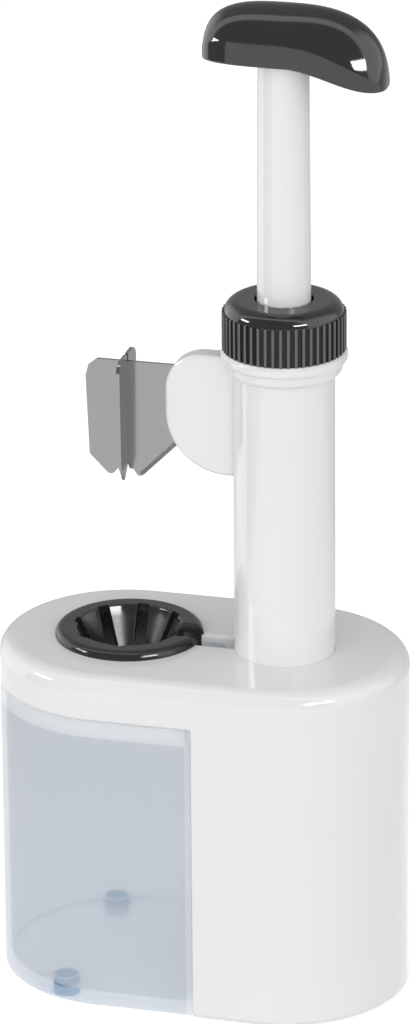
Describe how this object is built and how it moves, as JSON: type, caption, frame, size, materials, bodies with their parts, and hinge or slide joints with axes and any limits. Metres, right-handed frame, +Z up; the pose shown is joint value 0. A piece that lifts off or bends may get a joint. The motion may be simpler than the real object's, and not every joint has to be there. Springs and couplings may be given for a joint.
{
  "type": "plum pitter",
  "caption": "Counter-top plum pitter: a spring-return plunger drives crossed steel blades through a fingered fruit seat, above a pull-out stone bin.",
  "frame": {"origin": "on the table, below the middle of the base", "axes": "+X along the base from the fruit seat to the column, -Y towards the front, +Z up along the plunger"},
  "size_m": [0.12, 0.072, 0.2962],
  "materials": {
    "white_plastic": "white moulded plastic, satin gloss",
    "black_plastic": "black moulded plastic, polished",
    "bin_plastic": "bluish translucent moulded plastic",
    "blue_silicone": "bluish silicone, soft",
    "blade_steel": "stainless sheet, polished",
    "spring_steel": "drawn spring wire",
    "screw_steel": "zinc-plated steel"
  },
  "bodies": {
    "base": {"housing": "white_plastic", "bottom_cover": "white_plastic", "cover_screws": "screw_steel", "base_foot_front": "blue_silicone", "base_foot_rear": "blue_silicone", "column_tube": "white_plastic", "column_screw": "screw_steel", "column_washer": "screw_steel", "fruit_seat": "black_plastic", "return_spring": "spring_steel"},
    "bin": {"stone_bin": "bin_plastic", "bin_foot_front": "blue_silicone", "bin_foot_rear": "blue_silicone"},
    "cap": {"screw_cap": "black_plastic"},
    "plunger": {"knob": "black_plastic", "knob_screw": "screw_steel", "plunger_rod": "white_plastic", "rod_pin": "screw_steel", "blade_carriage": "white_plastic", "main_blade": "blade_steel", "cross_blade": "blade_steel"}
  },
  "joints": [
    {"name": "plunger_press", "type": "slide", "parent": "base", "child": "plunger", "axis": [0, 0, -1], "range_m": [0, 0.062], "stiffness_N_per_m": 200, "springref_m": -0.03, "deforming": ["return_spring"]},
    {"name": "bin_slide", "type": "slide", "parent": "base", "child": "bin", "axis": [-1, 0, 0], "range_m": [0, 0.07]},
    {"name": "cap_turn", "type": "hinge", "parent": "base", "child": "cap", "pos_m": [0.024, 0, 0.2025], "axis": [0, 0, 1], "range_deg": [0, 360]}
  ]
}
